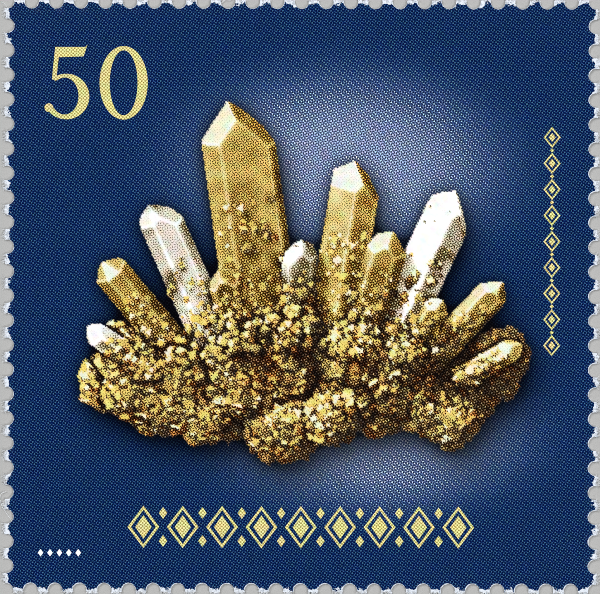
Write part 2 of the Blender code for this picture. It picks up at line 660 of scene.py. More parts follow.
diffuse = np.clip(facing @ LAMP, 0, 1)
glint = np.clip(facing @ unit(LAMP + VIEWER), 0, 1)
mirror = 2 * (facing @ VIEWER)[..., None] * facing - VIEWER
sky = 0.2 + 0.8 * np.clip(mirror @ SOFT_BOX, 0, 1) ** 2 + 0.5 * np.clip(mirror @ RIM_LAMP, 0, 1) ** 5

slope_y, slope_x = np.gradient(blur(relief, LUMP_BLUR), BOARD_STEP)
lump_facing = np.stack([-slope_x, -slope_y, np.ones(relief.shape)], -1)
lump_light = np.clip(lump_facing @ LAMP, 0, None) / np.linalg.norm(lump_facing, axis=-1)

edge = np.zeros(relief.shape)
for side in (0, 1):
    bend = np.linalg.norm(facing - np.roll(facing, 1, side), axis=-1)
    edge = np.maximum(edge, (bend > SHARP_BEND) & (matter == np.roll(matter, 1, side)))
edge = 2 * blur(edge, BOARD_STEP, 1)
print(f"{100 * (lit[solid_here] > 0.5).mean():.0f}% of the crystals' face is in the light")

# %% [markdown]
# The light only says how bright a point is. Each kind of matter turns that into its own colours: gold
# runs from brown-black hollows through ochre to pale yellow glints, milky quartz from warm grey to paper
# white, and smoky quartz from brown to honey. Real gold is nowhere quite the same hue, so it drifts from
# redder to greyer in small clouds, and milky quartz is clouded too, with a few dark specks shut in it.
#
# Behind the group lies the deep blue ground, with two pools of lilac light, one behind the tips and one
# under the foot. Their rims stay bluer than a plain mix of the two colours, because the red and the green
# fade first. A dark soft edge and a shadow that falls down and to the right lift the group off the ground.

# %% The tones of gold and quartz
GOLD_TONES = (  # tone, then red, green and blue
    (0, 0.005, 0.003, 0.003), (0.12, 0.054, 0.034, 0.020), (0.3, 0.275, 0.172, 0.068),
    (0.5, 0.585, 0.40, 0.100), (0.7, 0.82, 0.645, 0.145), (1.0, 0.90, 0.80, 0.24), (1.3, 0.92, 0.91, 0.68))
MILKY_TONES = (
    (0, 0.03, 0.02, 0.010), (0.3, 0.25, 0.185, 0.09), (0.5, 0.62, 0.56, 0.42),
    (0.66, 0.92, 0.90, 0.85), (0.75, 1.06, 1.06, 1.05))
SMOKY_TONES = (
    (0, 0.006, 0.004, 0.003), (0.18, 0.07, 0.04, 0.014), (0.36, 0.32, 0.19, 0.04),
    (0.56, 0.63, 0.47, 0.13), (0.78, 0.88, 0.80, 0.42), (1.0, 0.92, 0.92, 0.84))
RED_GOLD = np.array((1.0, 0.70, 0.5))
WARM_DRIFT = np.array((0.26, 0.0, -0.25))


def tone_colour(tone, steps):
    """Colours for tones, from rows of a tone and its colour."""
    at, *channels = zip(*steps)
    return np.stack([np.interp(tone, at, channel) for channel in channels], -1)


print("a middling tone of gold is", tone_colour(0.5, GOLD_TONES))

# %% From light to colour
RED_SHADE, RED_TONE = 0.75, 0.45
MILKY_LIMIT = 0.88
CLOUD_DEPTH, SPECK_DEPTH = 0.8, 0.8
SPECK_START, SPECK_EDGE = 0.89, 0.05

veil = 0.55 * mottle(0.9, 1) + 0.3 * mottle(0.4, 2) + 0.15 * mottle(0.2, 3)
height = np.clip(board["rise"] * 1.15, 0, 1)
shine = (0.2 + 0.8 * lit) * (0.45 * diffuse + 0.28 * lump_light) + 0.25 * sky * lump_light
gold = hollow * (0.10 + shine + (0.25 + 0.75 * lit) * glint ** 18)
gold = gold * (0.95 + 0.42 * shade + 0.5 * (mottle(2.6, 4) - 0.4))
gold_rgb = tone_colour(gold, GOLD_TONES)
gold_rgb[(shade > RED_SHADE) & (gold < RED_TONE)] *= RED_GOLD
warmth = (mottle(1.1, 7) + mottle(0.45, 8) - 1) * np.clip(1.3 - gold / 0.8, 0, 1)
gold_rgb *= np.exp(WARM_DRIFT * warmth[..., None])
glass = (0.25 + 0.75 * lit) * 0.40 * diffuse + 0.50 * sky + 1.2 * glint ** 40 + 0.22 * edge
milky = 0.22 * hollow + glass * (0.75 + 0.25 * hollow) + 0.35 * veil * (1 - height)
clouds = np.clip(0.7 * mottle(1.5, 12) + 0.3 * mottle(0.5, 13) - 0.45, 0, 1)
specks = np.clip((mottle(0.3, 14) - SPECK_START) / SPECK_EDGE, 0, 1)
milky = (np.minimum(milky, MILKY_LIMIT) - CLOUD_DEPTH * clouds) * (1 - SPECK_DEPTH * specks)
smoky = (0.04 + glass) * (0.55 + 0.45 * hollow) + (veil - 0.45) * (0.5 - 0.33 * height) + 0.12 * height
print(f"the gold's mean tone is {gold[matter == GOLD].mean():.2f}")

# %% The ground, its light and its shadow
GROUND = np.array((0.0104, 0.0392, 0.1185))
GLOW = np.array((0.225, 0.287, 0.445))
GLOW_PACE = np.array((1.25, 1.13, 1.0))
HALO_WIDTH, HALO_GAIN, HALO_DEPTH = 0.55, 1.8, 0.93
SHADOW_FALL = (-14, 7)  # samples up and to the right
SHADOW_WIDTH, SHADOW_GAIN, SHADOW_DEPTH = 0.85, 1.3, 0.75


def pool_of_light(x, y, width, height):
    """Even light about a place, which falls away quickly at its rim."""
    return np.exp(-(((board_x - x) / width) ** 2 + ((board_y - y) / height) ** 2) ** 1.5)


def soft_shape(shape, width, gain):
    """A shape on the board with a soft edge, from 0 to 1."""
    return np.clip(gain * blur(shape.astype(float), width, 3), 0, 1)[..., None]


glow = np.clip(1.05 * pool_of_light(2.5, 8.0, 8.5, 5.0) + pool_of_light(4.5, -8.6, 8.0, 3.9), 0, 1)
glow = glow[..., None] ** GLOW_PACE
halo = soft_shape(solid_here, HALO_WIDTH, HALO_GAIN)
shadow = soft_shape(np.roll(solid_here, SHADOW_FALL, (0, 1)), SHADOW_WIDTH, SHADOW_GAIN)
picture = (GROUND * (1 - glow) + GLOW * glow) * (1 - HALO_DEPTH * halo ** 1.2) * (1 - SHADOW_DEPTH * shadow)
for kind, colours in ((GOLD, gold_rgb), (MILKY, tone_colour(milky, MILKY_TONES)),
                      (SMOKY, tone_colour(smoky, SMOKY_TONES))):
    picture[matter == kind] = colours[matter == kind]
print("mean gold", picture[matter == GOLD].mean(0).round(3))

# %% [markdown]
# ## A tint and dark dots
# A press can't print a shade, only dots of ink over white paper, on screens that are turned against each
# other. At arm's length the hues of the dots melt into one smooth tint, because fine detail is seen by
# its lightness alone, and what is left of the dots is a fine pattern of light and dark. So each colour is
# split in three: the cover of dark dots on each screen, the colour of those dots, which is a deep and
# strong version of the hue, and the tint between them, which is as light as it takes to bring the whole
# back to the colour. The first screen takes the most dots, and the rest go to the second screen in light
# places and to the third in dark ones. Warm tones get nearly black dots on a pale tint, which gives gold
# its glitter, and the blue ground gets gentler ones.
#
# Ink takes light by its density, so at the soft edge of a dot it dims its strongest colour first. The
# share of light that a whole screen lets through therefore has no short formula. It is worked out once,
# over one hill of the screen, for a table of covers and densities, and each colour looks its tint up.

# %% Separate colours into a tint and dots
SHEET_LIGHT = 1.15
PAPER_WHITE = 0.93
DOT_DEPTHS = ((0.3, 0.6), (0.29, 0.12))
DOT_STRENGTH = 1.25
DARK_LIFT, LIGHT_LIFT = 2.3, 5.0
WARM_GAIN = 1.5
WARM_DEPTH = 0.08
DARK_SHARES = np.array((0.62, 0.03, 0.35))
LIGHT_SHARES = np.array((0.42, 0.34, 0.24))
LIGHT_PLACE = 0.3
DOT_SOFTNESS = 0.25
CUT_SLOPE, CUT_BEND = 0.715, 1.14
HILL_SAMPLES = 32
COVERS = np.linspace(0, 1, 51)
DENSITIES = np.linspace(0, 7, 29)
LAYERS = ("tint", "cover", "ink")


def dot_profile(cover, hills):
    """The ink, from 0 to 1, at every height of a screen's hills, for a cover of dots."""
    past_half = cover - 0.5
    low = 0.5 - CUT_SLOPE * past_half - CUT_BEND * past_half ** 3 - DOT_SOFTNESS * cover
    rise = np.clip((hills - low) / DOT_SOFTNESS, 0, 1)
    return rise * rise * (3 - 2 * rise)


wave = np.cos(np.arange(HILL_SAMPLES) * 2 * math.pi / HILL_SAMPLES)
one_hill = 0.5 + 0.25 * (wave[:, None] + wave)
passed = np.array([[np.exp(-density * dot_profile(cover, one_hill)).mean() for density in DENSITIES]
                   for cover in COVERS])


def let_through(cover, density):
    """The share of light that a whole screen lets through, from the table of such shares."""
    row = np.clip(cover / COVERS[1], 0, len(COVERS) - 1.001)
    column = np.clip(density / DENSITIES[1], 0, len(DENSITIES) - 1.001)
    up, right = row.astype(int), column.astype(int)
    part = column - right
    lower = passed[up, right] * (1 - part) + passed[up, right + 1] * part
    upper = passed[up + 1, right] * (1 - part) + passed[up + 1, right + 1] * part
    return lower + (upper - lower) * (row - up)


def separate(colours, ink=None, dark_shares=DARK_SHARES, light_shares=LIGHT_SHARES):
    """For each colour: the tint, the cover of dots on each of the three screens, and the dots' ink."""
    wanted = np.clip(colours / SHEET_LIGHT, 0.001, PAPER_WHITE)
    lightest = wanted.max(1, keepdims=True)
    warm = np.clip(WARM_GAIN * (wanted[:, :1] - wanted[:, 2:]) / lightest, 0, 1)
    if ink is None:
        depth = np.interp(lightest, *DOT_DEPTHS) * (1 - warm) + WARM_DEPTH * warm
        ink = depth * (wanted / lightest) ** DOT_STRENGTH
    light = np.maximum(np.clip(lightest / LIGHT_PLACE, 0, 1) ** 2, warm)
    lift = np.minimum(DARK_LIFT + (LIGHT_LIFT - DARK_LIFT) * light, PAPER_WHITE / lightest)
    shares = dark_shares + (light_shares - dark_shares) * light
    cover = (1 - lift ** -shares) / (1 - ink.max(1, keepdims=True))
    through = let_through(cover[:, :, None], -np.log(ink)[:, None, :]).prod(1)
    return np.minimum(wanted / through, PAPER_WHITE), cover, ink


for name, values in zip(LAYERS, separate(GROUND[None])):
    print("the ground's", name, values[0].round(3))

# %% [markdown]
# ## The numeral and the ornaments
# Marks printed in pale yellow are left out of the blue, so they need crisp outlines and can't come from
# the picture's samples. Each mark is a closed outline, and a later outline covers an earlier one: a ring
# is a yellow disc with a piece of the ground laid over its middle. The stamp carries a plain number, a
# band and a column of lozenges, and a row of small white ones, and no words.

# %% Outlines of the marks
PALE_YELLOW = np.array((0.72, 0.665, 0.27))
BARE_PAPER = np.full(3, PAPER_WHITE * SHEET_LIGHT)
marks = []


def mark(points, colour):
    """Adds one outline in millimetres, with its colour, or None for the picture behind it."""
    marks.append(([tuple(map(float, point)) for point in points], colour))


def arc(middle, radii, start, end, parts):
    """Points along part of an ellipse, with its angles in degrees."""
    angles = np.radians(np.linspace(start, end, parts + 1))
    return [(middle[0] + radii[0] * math.cos(a), middle[1] + radii[1] * math.sin(a)) for a in angles]


def lozenge(x, y, width, height, colour=PALE_YELLOW):
    mark([(x - width / 2, y), (x, y - height / 2), (x + width / 2, y), (x, y + height / 2)], colour)


def ringed_lozenge(x, y, width, height, line):
    """A lozenge, a piece of ground in it, and a small lozenge in that."""
    lozenge(x, y, width, height)
    lozenge(x, y, width - 2.4 * line, height - 2.9 * line, None)
    lozenge(x, y, width - 5.6 * line, height - 6.8 * line)


# %% The number fifty
NUMBER_LEFT = -15.6
NUMBER_FOOT = 10.9


def number_mark(points, colour=PALE_YELLOW):
    """Marks a piece of a digit, drawn from the number's own lower left corner."""
    mark([(NUMBER_LEFT + x, NUMBER_FOOT + y) for x, y in points], colour)


bowl = arc((1.02, 1.38), (0.86, 1.14), 122, -140, 36) + arc((1.12, 1.35), (1.42, 1.40), -146, 128, 40)
number_mark(bowl)
number_mark(arc((0.06, 0.66), (0.27, 0.27), 0, 345, 23))
number_mark([(0.24, 2.42), (0.50, 2.30), (0.72, 4.40), (0.44, 4.40)])
number_mark([(0.44, 4.40), (0.52, 3.76), (2.18, 3.82), (2.42, 4.54), (2.28, 4.40)])
number_mark(arc((4.65, 2.2), (1.48, 2.26), 0, 354, 59))
number_mark(arc((4.65, 2.2), (0.86, 2.00), 0, 354, 59), None)

# %% The band, the column and the small white row
BAND_STEP, BAND_COUNT, BAND_Y = 2.42, 9, -14.2
BAND_LEFT = -BAND_STEP * BAND_COUNT / 2
BAND_LOZENGE = (1.95, 2.6, 0.17)  # width, height, line
BAND_DOT, BAND_DOT_RISE = (0.52, 0.72), 0.86
COLUMN_X, COLUMN_FOOT, COLUMN_STEP, COLUMN_COUNT = 15.4, -3.0, 1.60, 9
COLUMN_LOZENGE = (1.05, 1.30, 0.11)
COLUMN_DOT = (0.26, 0.26)
ROW_LEFT, ROW_Y, ROW_STEP, ROW_COUNT = -16.0, -15.8, 0.58, 5
ROW_LOZENGE = (0.34, 0.46)

for number in range(BAND_COUNT):
    x = BAND_LEFT + (number + 0.5) * BAND_STEP
    ringed_lozenge(x, BAND_Y, *BAND_LOZENGE)
    if number:
        for y in (BAND_Y - BAND_DOT_RISE, BAND_Y + BAND_DOT_RISE):
            lozenge(x - BAND_STEP / 2, y, *BAND_DOT)
for number in range(COLUMN_COUNT):
    y = COLUMN_FOOT + number * COLUMN_STEP
    ringed_lozenge(COLUMN_X, y, *COLUMN_LOZENGE)
    if number:
        lozenge(COLUMN_X, y - COLUMN_STEP / 2, *COLUMN_DOT)
for number in range(ROW_COUNT):
    lozenge(ROW_LEFT + number * ROW_STEP, ROW_Y, *ROW_LOZENGE, BARE_PAPER)
print(f"{len(marks)} outlines make the marks")

# %% [markdown]
# ## The sheet
# The printed face has to carry three kinds of detail: the rim, the marks' outlines and the picture. A
# constrained Delaunay triangulation takes them all: it keeps every outline as edges and fills the rest
# with well-shaped triangles over whatever points it is given. Points are close together where the
# picture is busy, and few on the plain ground. The back is triangulated from the same rim, so a single
# wall of quads closes the sheet.

# %% Where the points go
COLLAR_WIDTH = 0.035
COLLAR_OUT = 0.03
WALL_REACH = 1.075
RIM_MARGIN = 0.12
TEAR_GRID = 0.055
TEAR_DEPTH = 0.10
TEAR_REACH = 0.25
TEAR_LENGTH = 0.17
TEAR_SHIFT = 0.02
TEAR_SHAKE = 0.012
BUSY_BLUR, BUSY_LEVEL = 0.2, 0.02
HALO_LEVEL = 0.01


def hole_distance(points):
    """The distance of each point, in millimetres, from the middle of the nearest hole."""
    x, y = (points - register / MM).T
    near_x, near_y = (np.clip(np.round(at / PITCH_MM) * PITCH_MM, -HALF_MM, HALF_MM) for at in (x, y))
    on_sides = np.hypot(np.abs(x) - HALF_MM, y - near_y)
    on_ends = np.hypot(x - near_x, np.abs(y) - HALF_MM)
    return np.minimum(on_sides, on_ends)


def clear_of_holes(points, collars):
    """Which points lie so many widths of the collar away from every hole's wall."""
    return hole_distance(points) > HOLE_MM + collars * COLLAR_WIDTH


def reach_out(points):
    """How far each point lies outside the square between the lines of holes, below zero inside it."""
    return np.abs(points - register / MM).max(1) - HALF_MM


def board_samples(thinning, wanted):
    """The board's samples at every so many steps, where they are wanted and well inside the rim."""
    chosen = np.zeros(board_x.shape, bool)
    chosen[::thinning, ::thinning] = True
    points = np.stack([board_x[chosen & wanted], board_y[chosen & wanted]], 1)
    return points[(reach_out(points) < -RIM_MARGIN) & clear_of_holes(points, 2.5)]


def collar():
    """A row of points just behind the wall of every hole."""
    places = np.arange(-TEETH_PER_SIDE // 2, TEETH_PER_SIDE // 2 + 1) * PITCH_MM
    circle = np.array(arc((0, 0), (HOLE_MM + COLLAR_WIDTH,) * 2, 0, 345, 23))
    middles = [(x, y) for x in places for y in places if max(abs(x), abs(y)) > HALF_MM - 0.01]
    points = np.concatenate([circle + middle + register / MM for middle in middles])
    return points[(reach_out(points) < COLLAR_OUT) & clear_of_holes(points, 0.9)]


def square_grid(line):
    """Points on a square grid, from one line of it."""
    return np.stack(np.meshgrid(line, line), -1).reshape(-1, 2)


def tear_points():
    """A fine grid over the torn strip of every tooth."""
    points = square_grid(np.arange(-HALF_MM - TEAR_REACH, HALF_MM + TEAR_REACH, TEAR_GRID))
    points = points[np.abs(reach_out(points) - TEAR_SHIFT) < TEAR_LENGTH]
    points = points[clear_of_holes(points, 1.8)]
    return points + np.random.default_rng(4).uniform(-TEAR_SHAKE, TEAR_SHAKE, points.shape)


busy = blur(solid_here.astype(float), BUSY_BLUR) > BUSY_LEVEL
edge_of_group = halo[..., 0] > HALO_LEVEL
face_points = np.concatenate([
    collar(),
    tear_points(),
    board_samples(1, busy),
    board_samples(3, edge_of_group & ~busy),
    board_samples(6, ~edge_of_group),
])
print(f"{len(face_points)} points inside the rim, {busy.sum()} of them for the crystals")

# %% Triangulate the face and the back
BACK_GRID = 1.6
INSIDE_FIRST = 1
SAME_POINT = 1e-6


def triangulate(points, outlines):
    """Triangles over points, inside the first of the closed outlines, given as (first index, count).
    Returns points, triangles, the last outline over each triangle, and where each given point went."""
    coords = [Vector(point) for point in points.tolist()]
    loops = [list(range(first, first + count)) for first, count in outlines]
    spots, _, triangles, sources, _, over = delaunay_2d_cdt(
        coords, [], loops, INSIDE_FIRST, SAME_POINT, True)
    went = np.full(len(points), -1)
    for number, given in enumerate(sources):
        went[given] = number
    kept = [number for number, names in enumerate(over) if 0 in names]
    over = [max(over[number]) for number in kept]
    return np.array([tuple(spot) for spot in spots]), np.array(triangles)[kept], np.array(over), went


outline_points = [np.array(points) for points, _ in marks]
firsts = np.cumsum([len(rim)] + [len(points) for points in outline_points])
outlines = [(0, len(rim))] + [(first, len(points)) for first, points in zip(firsts, outline_points)]
everything = np.concatenate([rim, *outline_points, face_points])
face_spots, face_triangles, face_over, face_went = triangulate(everything, outlines)
back_grid = square_grid(np.arange(-HALF_MM + BACK_GRID, HALF_MM - BACK_GRID / 2, BACK_GRID))
back_spots, back_triangles, _, back_went = triangulate(np.concatenate([rim, back_grid]), [(0, len(rim))])
print(f"{len(face_triangles)} triangles on the face, {len(back_triangles)} on the back")

# %% [markdown]
# Paper never lies quite flat, so the whole sheet swells and sinks by a few hundredths of a millimetre. A
# tooth tears in layers: the coating lets go first, and the fibres behind it pull out to a thin ragged
# lip. The face drops and the back rises towards that lip, with a little roughness of their own. A punch
# rounds the edge it cuts, so the rim of a hole lies a hundredth of a millimetre lower.

# %% Heights
SWELL = 0.005
LIP_DROP = 0.045
LIP_RISE = 0.028
LIP_ROUGH = 0.020
PUNCH_DROP = 0.010


def swell(points):
    """The gentle unevenness of a sheet that has been wetted, gummed and dried."""
    x, y = points.T
    return SWELL * (2 + np.sin(0.31 * x + 0.17 * y + 0.5) + np.sin(0.11 * x - 0.29 * y + 2))


def tear(points):
    """From 0 where the paper is whole to 1 at the end of a torn tooth."""
    return np.clip((reach_out(points) + TEAR_DEPTH) / (TEAR_DEPTH + TEAR_LENGTH), 0, 1)


def rough(seed, spread, count):
    """The tear's own roughness: a random number for each point."""
    return LIP_ROUGH * np.random.default_rng(seed).uniform(-spread, spread, count)


top_ring = face_went[:len(rim)]
punched = np.zeros(len(face_spots), bool)
punched[top_ring] = True
punched &= hole_distance(face_spots) < HOLE_MM * WALL_REACH
torn = tear(face_spots)
drop = torn * (LIP_DROP + rough(6, 1.0, len(torn))) + PUNCH_DROP * punched * (1 - torn)
face_z = swell(face_spots) + THICK_MM - drop
back_z = swell(back_spots) + tear(back_spots) * (LIP_RISE + rough(7, 0.5, len(back_spots)))
print(f"the face stands {face_z.min():.3f} to {face_z.max():.3f} mm high, the back {back_z.min():.3f} mm up")

# %% Build the sheet
FACE, BACK, WALL = 0, 1, 2
SHARP_ANGLE = math.radians(50)

sheet_points = np.concatenate([np.column_stack([face_spots, face_z]), np.column_stack([back_spots, back_z])])
low_ring = back_went[:len(rim)] + len(face_spots)
wall_quads = np.stack([low_ring, np.roll(low_ring, -1), np.roll(top_ring, -1), top_ring], 1)
back_faces = back_triangles[:, ::-1] + len(face_spots)
sheet_mesh = bpy.data.meshes.new("stamp_sheet")
sheet_mesh.from_pydata(
    (sheet_points * MM).tolist(), [], face_triangles.tolist() + back_faces.tolist() + wall_quads.tolist())
sheet = put("stamp_sheet", sheet_mesh)
kinds = [FACE] * len(face_triangles) + [BACK] * len(back_triangles) + [WALL] * len(wall_quads)
sheet_mesh.polygons.foreach_set("material_index", kinds)
sheet_mesh.shade_smooth()
sheet_mesh.set_sharp_from_angle(angle=SHARP_ANGLE)
uses = np.bincount(np.array([loop.edge_index for loop in sheet_mesh.loops]), minlength=len(sheet_mesh.edges))
print(f"{len(sheet_mesh.loop_triangles)} triangles, {(uses != 2).sum()} edges that don't join two faces")

# %% [markdown]
# ## Ink on the sheet
# The tint, the cover and the ink go into the mesh as attributes on the corners of the triangles.
# Corners and not points, so that two triangles on either side of an outline can differ and the outline
# stays crisp. The piece's own UV map, for painting the finish into an image, gives nearly all of its
# room to the printed face.

# %% Tint, cover and ink on the mesh
MARK_INK = np.array([(0.42, 0.35, 0.20)])
MARK_SHARES = np.array((0.75, 0.0, 0.25))


def picture_at(points):
    """The picture's colours at places in millimetres, each mixed from the four samples around it."""
    place = np.clip((points + BOARD_HALF) / BOARD_STEP, 0, len(board_line) - 1.001)
    low = place.astype(int)
    part = place - low
    mixed = np.zeros((len(points), 3))
    for up in (0, 1):
        for right in (0, 1):
            weight = np.abs(1 - right - part[:, 0]) * np.abs(1 - up - part[:, 1])
            mixed += weight[:, None] * picture[low[:, 1] + up, low[:, 0] + right]
    return mixed


printed = separate(picture_at(face_spots)[face_triangles].reshape(-1, 3))
for number, (_, colour) in enumerate(marks, start=1):
    if colour is not None:
        corners = np.repeat(face_over == number, 3)
        for values, own in zip(printed, separate(colour[None], MARK_INK, MARK_SHARES, MARK_SHARES)):
            values[corners] = own
for name, values in zip(LAYERS, printed):
    channels = np.ones((len(sheet_mesh.loops), 4))
    channels[:len(values), :3] = values
    layer = sheet_mesh.color_attributes.new(name, "FLOAT_COLOR", "CORNER")
    layer.data.foreach_set("color", channels.ravel())
    print(f"mean {name} on the face", values.mean(0).round(2))

# %% The map for the bake
FACE_ROOM = 0.93
BACK_STRIP = (0.937, 0.995)
WALL_STRIPS = 8
WALL_FOOT, WALL_RISE, WALL_PART = 0.938, 0.0075, 0.75
MAP_WIDTH = 37.0

corner_point = np.array([loop.vertex_index for loop in sheet_mesh.loops])
across = sheet_points[corner_point, :2] / MAP_WIDTH + 0.5
bake_map = across * FACE_ROOM
back_start, wall_start = 3 * len(face_triangles), 3 * (len(face_triangles) + len(back_triangles))
bake_map[back_start:wall_start, 0] = np.interp(across[back_start:wall_start, 0], (0, 1), BACK_STRIP)
quads_a_strip = math.ceil(len(rim) / WALL_STRIPS)
strip, step = np.divmod(np.arange(len(rim)), quads_a_strip)
for corner, (right, up) in enumerate(((0, 0), (1, 0), (1, 1), (0, 1))):
    bake_map[wall_start + corner::4, 0] = (step + right) / quads_a_strip * FACE_ROOM
    bake_map[wall_start + corner::4, 1] = WALL_FOOT + (strip + WALL_PART * up) * WALL_RISE
sheet_mesh.uv_layers.new(name="OFBake").data.foreach_set("uv", bake_map.ravel())
print(f"the map reaches {bake_map.max(0).round(3)}")

# %% [markdown]
# ## The finish of the printed face
# Close up the print is a pattern of round dots on square screens. A dot grows with the cover that is
# wanted: under a half it is a dot of ink on paper, over a half the paper is a dot in the ink. Two cosine
# waves at right angles make a field of round hills, and cutting it at the right height gives just that.

# %% Patterns in nodes
def object_place(tree):
    """The place on the object, in metres."""
    return add(tree, "ShaderNodeTexCoord").outputs["Object"]


def split(tree, vector):
    """The three numbers of a vector."""
    return add(tree, "ShaderNodeSeparateXYZ", {0: vector}).outputs


def plus(tree, total, *terms):
    """A total with terms added to it, each a value and its weight."""
    for value, weight in terms:
        total = calc(tree, "MULTIPLY_ADD", value, weight, total)
    return total


def noise(tree, place, size, detail=2.0, roughness=0.5):
    """Noise about zero, with features of a given size in metres."""
    cloud = made(tree, "ShaderNodeTexNoise",
                 {"Vector": place, "Scale": 1 / size, "Detail": detail, "Roughness": roughness})
    return calc(tree, "SUBTRACT", cloud, 0.5)


def step_up(tree, value, start, end):
    """Rises smoothly from 0 to 1 between two values."""
    return made(tree, "ShaderNodeMapRange", {"Value": value, "From Min": start, "From Max": end},
                interpolation_type="SMOOTHSTEP")


# %% A screen of dots
SCREEN_PITCH = 0.1495 * MM
DOT_RAGGED = 0.09
RAGGED_SIZE = SCREEN_PITCH / 0.8


def screen_of_dots():
    """A node group that turns the cover wanted at a point into ink or no ink, for a turned screen."""
    tree = bpy.data.node_groups.new("screen_of_dots", "ShaderNodeTree")
    for label in ("Cover", "Angle", "Late"):
        tree.interface.new_socket(label, in_out="INPUT", socket_type="NodeSocketFloat")
    tree.interface.new_socket("Ink", in_out="OUTPUT", socket_type="NodeSocketFloat")
    given = add(tree, "NodeGroupInput").outputs
    place = object_place(tree)
    turned = made(tree, "ShaderNodeVectorRotate", {"Vector": place, "Angle": given["Angle"]},
                  rotation_type="Z_AXIS", invert=True)
    waves = split(tree, scaled(tree, turned, 2 * math.pi / SCREEN_PITCH))
    other = plus(tree, waves[1], (given["Late"], 2 * math.pi))
    hills = calc(tree, "ADD", calc(tree, "COSINE", waves[0]), calc(tree, "COSINE", other))
    hills = calc(tree, "MULTIPLY_ADD", hills, 0.25, 0.5)
    hills = plus(tree, hills, (noise(tree, place, RAGGED_SIZE, 1.0), DOT_RAGGED))
    past_half = calc(tree, "SUBTRACT", given["Cover"], 0.5)
    low = plus(tree, 0.5, (calc(tree, "POWER", past_half, 3.0), -CUT_BEND),
               (past_half, -CUT_SLOPE), (given["Cover"], -DOT_SOFTNESS))
    add(tree, "NodeGroupOutput", {"Ink": step_up(tree, hills, low, calc(tree, "ADD", low, DOT_SOFTNESS))})
    return tree


# %% [markdown]
# Ink covers the face up to the tear. There the coating has come away with it, at a ragged line a little
# inside the teeth's ends, and bare fibres show, with painted shade on them: thin patches are darkened to
# blue-grey. The punch also chips a hair's breadth of coating off one side of each hole, because it came
# through at a slight slant. Now and then a grain of dust kept the ink off the paper, which leaves a white
# speck. The press also lays its ink a little unevenly, so the tint wanders by a few hundredths over every
# half millimetre, and more in its red than in its green.

# %% Where there is ink
INK_HALF = 18.00 * MM
INK_SHIFT = Vector((0.02, -0.01, 0)) * MM
INK_RIM = (-0.006 * MM, 0.012 * MM)
INK_WANDER, WANDER_SIZE = 0.95 * MM, 0.75 * MM
INK_NIBBLE, NIBBLE_SIZE = 0.50 * MM, 0.14 * MM
CHIP = 0.014 * MM
CHIP_SLANT = 0.036 * MM
CHIP_SIDE = (-0.707, 0.707, 0.0)
CHIP_ROUGH, CHIP_GRAIN = 0.05 * MM, 0.1 * MM
CHIP_SOFT = 0.008 * MM


def furthest(tree, place):
    """How far a place lies out, on the axis along which it lies further."""
    sides = split(tree, vector_calc(tree, "ABSOLUTE", place))
    return calc(tree, "MAXIMUM", sides[0], sides[1])


def ink_mask(tree, place):
    """1 where the coating holds its ink, 0 on torn and chipped paper."""
    out = furthest(tree, vector_calc(tree, "SUBTRACT", place, INK_SHIFT))
    inside = plus(tree, calc(tree, "SUBTRACT", INK_HALF, out),
                  (noise(tree, place, WANDER_SIZE), INK_WANDER),
                  (noise(tree, place, NIBBLE_SIZE, 3.0, 0.65), INK_NIBBLE))
    whole = step_up(tree, inside, *INK_RIM)
    crossing, away = nearest_hole(tree, place, PITCH, (*register, 0.0))
    is_hole = calc(tree, "GREATER_THAN", furthest(tree, crossing), HALF_SIDE - 0.3 * PITCH)
    slant = vector_calc(tree, "DOT_PRODUCT", vector_calc(tree, "NORMALIZE", away), CHIP_SIDE, output="Value")
    chip = plus(tree, CHIP, (calc(tree, "MAXIMUM", slant, 0.0), CHIP_SLANT),
                (noise(tree, place, CHIP_GRAIN), CHIP_ROUGH))
    past = calc(tree, "SUBTRACT", vector_calc(tree, "LENGTH", away, output="Value"), HOLE_RADIUS)
    held = step_up(tree, calc(tree, "SUBTRACT", past, chip), -CHIP_SOFT, CHIP_SOFT)
    chipped = calc(tree, "MULTIPLY", is_hole, calc(tree, "SUBTRACT", 1.0, held))
    return calc(tree, "MULTIPLY", whole, calc(tree, "SUBTRACT", 1.0, chipped))


# %% Fibres, mixes and bumps
FIBRE_SIZE = 0.05 * MM
FIBRE_STRETCH = (0.25 / FIBRE_SIZE, 1.6 / FIBRE_SIZE, 1 / FIBRE_SIZE)
FIBRE_TURNS = ((20, 0.0), (75, 3.1), (140, 7.7))  # angle in degrees, place in the noise
FIBRE_TANGLE = 0.6


def torn_fibres(tree, place):
    """The tangle of fibres on torn paper, as ridges that run in three directions."""
    ridges = 0.0
    for angle, seed in FIBRE_TURNS:
        laid = made(tree, "ShaderNodeMapping", {
            "Vector": place, "Location": (seed, seed, seed), "Rotation": (0, 0, math.radians(angle)),
            "Scale": FIBRE_STRETCH})
        strand = made(tree, "ShaderNodeTexNoise", {"Vector": laid, "Scale": 1.0, "Distortion": FIBRE_TANGLE})
        ridges = calc(tree, "MAXIMUM", ridges, strand)
    return ridges


def mixed(tree, share, first, second):
    """A mix of two colours, by the share of the second."""
    return add(tree, "ShaderNodeMix", {0: share, 6: first, 7: second}, data_type="RGBA").outputs[2]


def bumps(tree, height, depth, strength):
    """The direction of a surface that a height from 0 to 1 raises by up to a depth."""
    return made(tree, "ShaderNodeBump", {"Height": height, "Distance": depth, "Strength": strength})


